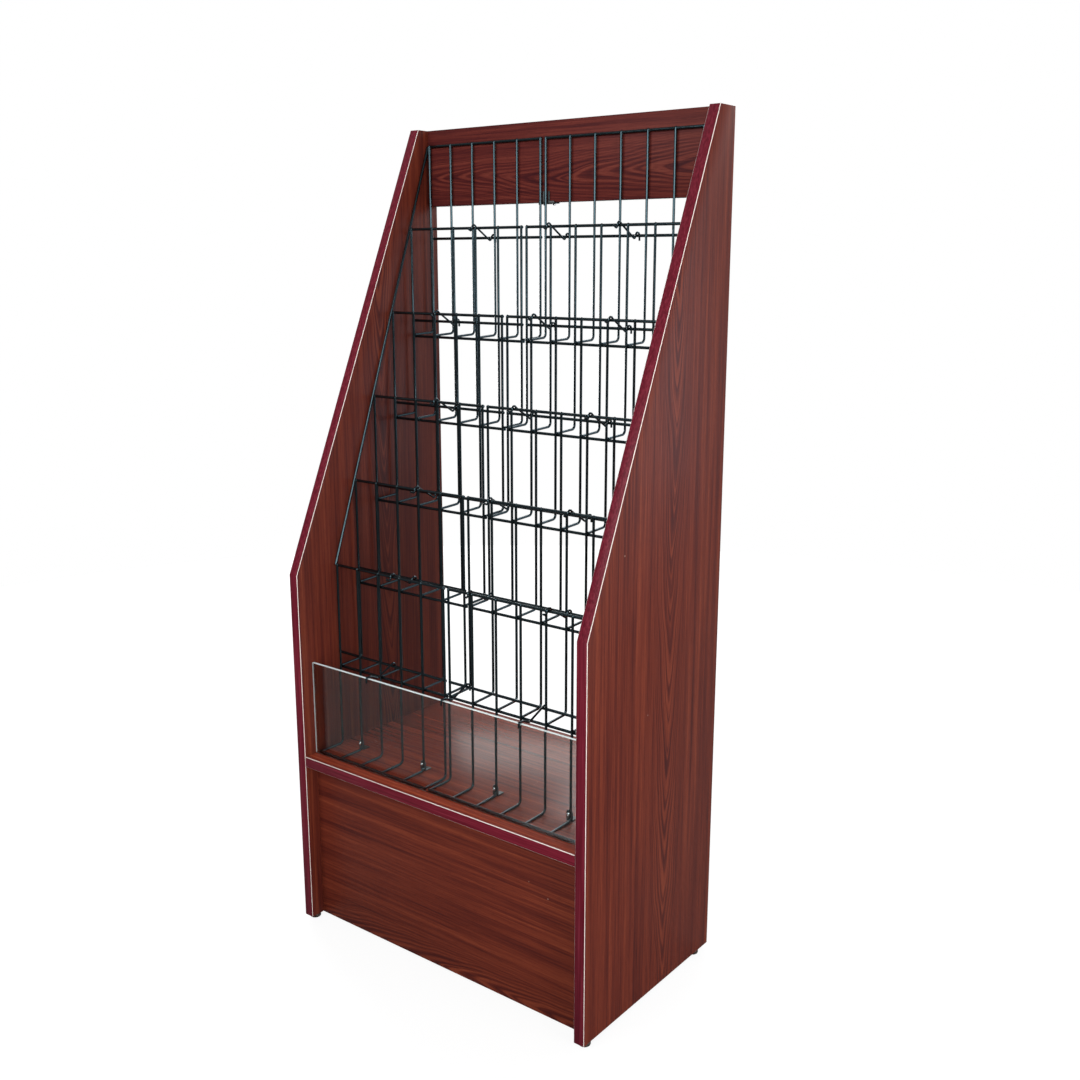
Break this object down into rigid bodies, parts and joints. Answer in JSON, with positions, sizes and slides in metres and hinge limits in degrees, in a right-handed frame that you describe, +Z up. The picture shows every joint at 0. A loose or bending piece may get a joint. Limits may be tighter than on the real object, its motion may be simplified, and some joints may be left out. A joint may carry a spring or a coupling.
{
  "type": "newspaper rack",
  "caption": "Free-standing tiered display rack: laminated side panels, stepped wire grilles with sliding wire dividers, glass front lip, base shelf and kick panel.",
  "frame": {"origin": "centre of the footprint on the floor", "axes": "+Z up; front of the rack faces -Y, its back is +Y; +X is to the right seen from the front"},
  "size_m": [0.52, 0.305, 1.157],
  "materials": {
    "laminate": "satin mahogany laminate",
    "edging": "maroon edge strip with pale worn arrises",
    "glass": "clear polished glass",
    "glide": "black plastic",
    "wire": "black semi-gloss powder coat",
    "clip": "black moulded plastic",
    "screw": "bright zinc-plated steel"
  },
  "bodies": {
    "root": {"side_panel_left": "laminate", "side_panel_right": "laminate", "base_shelf": "laminate", "kick_panel": "laminate", "back_board": "laminate", "side_edging_left": "edging", "side_edging_right": "edging", "shelf_edging": "edging", "glide_front_left": "glide", "glide_front_right": "glide", "glide_rear_left": "glide", "glide_rear_right": "glide", "glass_front": "glass", "wire_panel_left_0": "wire", "wire_panel_left_1": "wire", "wire_panel_left_2": "wire", "wire_panel_left_3": "wire", "wire_panel_left_4": "wire", "wire_panel_left_5": "wire", "wire_panel_right_0": "wire", "wire_panel_right_1": "wire", "wire_panel_right_2": "wire", "wire_panel_right_3": "wire", "wire_panel_right_4": "wire", "wire_panel_right_5": "wire", "brace_left": "wire", "brace_right": "wire", "shelf_clip_1": "clip", "shelf_clip_2": "clip", "shelf_clip_3": "clip", "shelf_clip_4": "clip", "top_clip": "clip", "shelf_clip_screw_1": "screw", "shelf_clip_screw_2": "screw", "shelf_clip_screw_3": "screw", "shelf_clip_screw_4": "screw", "top_clip_screw_1": "screw", "top_clip_screw_2": "screw"},
    "divider_1_0": {"divider_1_0": "wire"},
    "divider_1_1": {"divider_1_1": "wire"},
    "divider_1_2": {"divider_1_2": "wire"},
    "divider_2_0": {"divider_2_0": "wire"},
    "divider_2_1": {"divider_2_1": "wire"},
    "divider_2_2": {"divider_2_2": "wire"},
    "divider_3_0": {"divider_3_0": "wire"},
    "divider_3_1": {"divider_3_1": "wire"},
    "divider_3_2": {"divider_3_2": "wire"},
    "divider_4_0": {"divider_4_0": "wire"},
    "divider_4_1": {"divider_4_1": "wire"},
    "divider_4_2": {"divider_4_2": "wire"},
    "divider_5_0": {"divider_5_0": "wire"},
    "divider_5_1": {"divider_5_1": "wire"},
    "divider_5_2": {"divider_5_2": "wire"},
    "divider_6_0": {"divider_6_0": "wire"},
    "divider_6_1": {"divider_6_1": "wire"},
    "divider_6_2": {"divider_6_2": "wire"}
  },
  "joints": [
    {"name": "divider_1_0_slide", "type": "slide", "parent": "root", "child": "divider_1_0", "axis": [1, 0, 0], "range_m": [-0.0345, 0]},
    {"name": "divider_1_1_slide", "type": "slide", "parent": "root", "child": "divider_1_1", "axis": [1, 0, 0], "range_m": [-0.0339, 0.0006]},
    {"name": "divider_1_2_slide", "type": "slide", "parent": "root", "child": "divider_1_2", "axis": [1, 0, 0], "range_m": [-0.0239, 0.0106]},
    {"name": "divider_2_0_slide", "type": "slide", "parent": "root", "child": "divider_2_0", "axis": [1, 0, 0], "range_m": [0, 0.0344]},
    {"name": "divider_2_1_slide", "type": "slide", "parent": "root", "child": "divider_2_1", "axis": [1, 0, 0], "range_m": [0, 0.0344]},
    {"name": "divider_2_2_slide", "type": "slide", "parent": "root", "child": "divider_2_2", "axis": [1, 0, 0], "range_m": [0, 0.0343]},
    {"name": "divider_3_0_slide", "type": "slide", "parent": "root", "child": "divider_3_0", "axis": [1, 0, 0], "range_m": [-0.0345, 0]},
    {"name": "divider_3_1_slide", "type": "slide", "parent": "root", "child": "divider_3_1", "axis": [1, 0, 0], "range_m": [0, 0.0344]},
    {"name": "divider_3_2_slide", "type": "slide", "parent": "root", "child": "divider_3_2", "axis": [1, 0, 0], "range_m": [0, 0.0343]},
    {"name": "divider_4_0_slide", "type": "slide", "parent": "root", "child": "divider_4_0", "axis": [1, 0, 0], "range_m": [-0.0345, 0]},
    {"name": "divider_4_1_slide", "type": "slide", "parent": "root", "child": "divider_4_1", "axis": [1, 0, 0], "range_m": [-0.0344, 0]},
    {"name": "divider_4_2_slide", "type": "slide", "parent": "root", "child": "divider_4_2", "axis": [1, 0, 0], "range_m": [0, 0.0343]},
    {"name": "divider_5_0_slide", "type": "slide", "parent": "root", "child": "divider_5_0", "axis": [1, 0, 0], "range_m": [-0.0251, 0.0094]},
    {"name": "divider_5_1_slide", "type": "slide", "parent": "root", "child": "divider_5_1", "axis": [1, 0, 0], "range_m": [-0.0344, 0]},
    {"name": "divider_5_2_slide", "type": "slide", "parent": "root", "child": "divider_5_2", "axis": [1, 0, 0], "range_m": [0, 0.0343]},
    {"name": "divider_6_0_slide", "type": "slide", "parent": "root", "child": "divider_6_0", "axis": [1, 0, 0], "range_m": [-0.021, 0.0135]},
    {"name": "divider_6_1_slide", "type": "slide", "parent": "root", "child": "divider_6_1", "axis": [1, 0, 0], "range_m": [-0.0279, 0.0066]},
    {"name": "divider_6_2_slide", "type": "slide", "parent": "root", "child": "divider_6_2", "axis": [1, 0, 0], "range_m": [-0.0345, 0]}
  ]
}
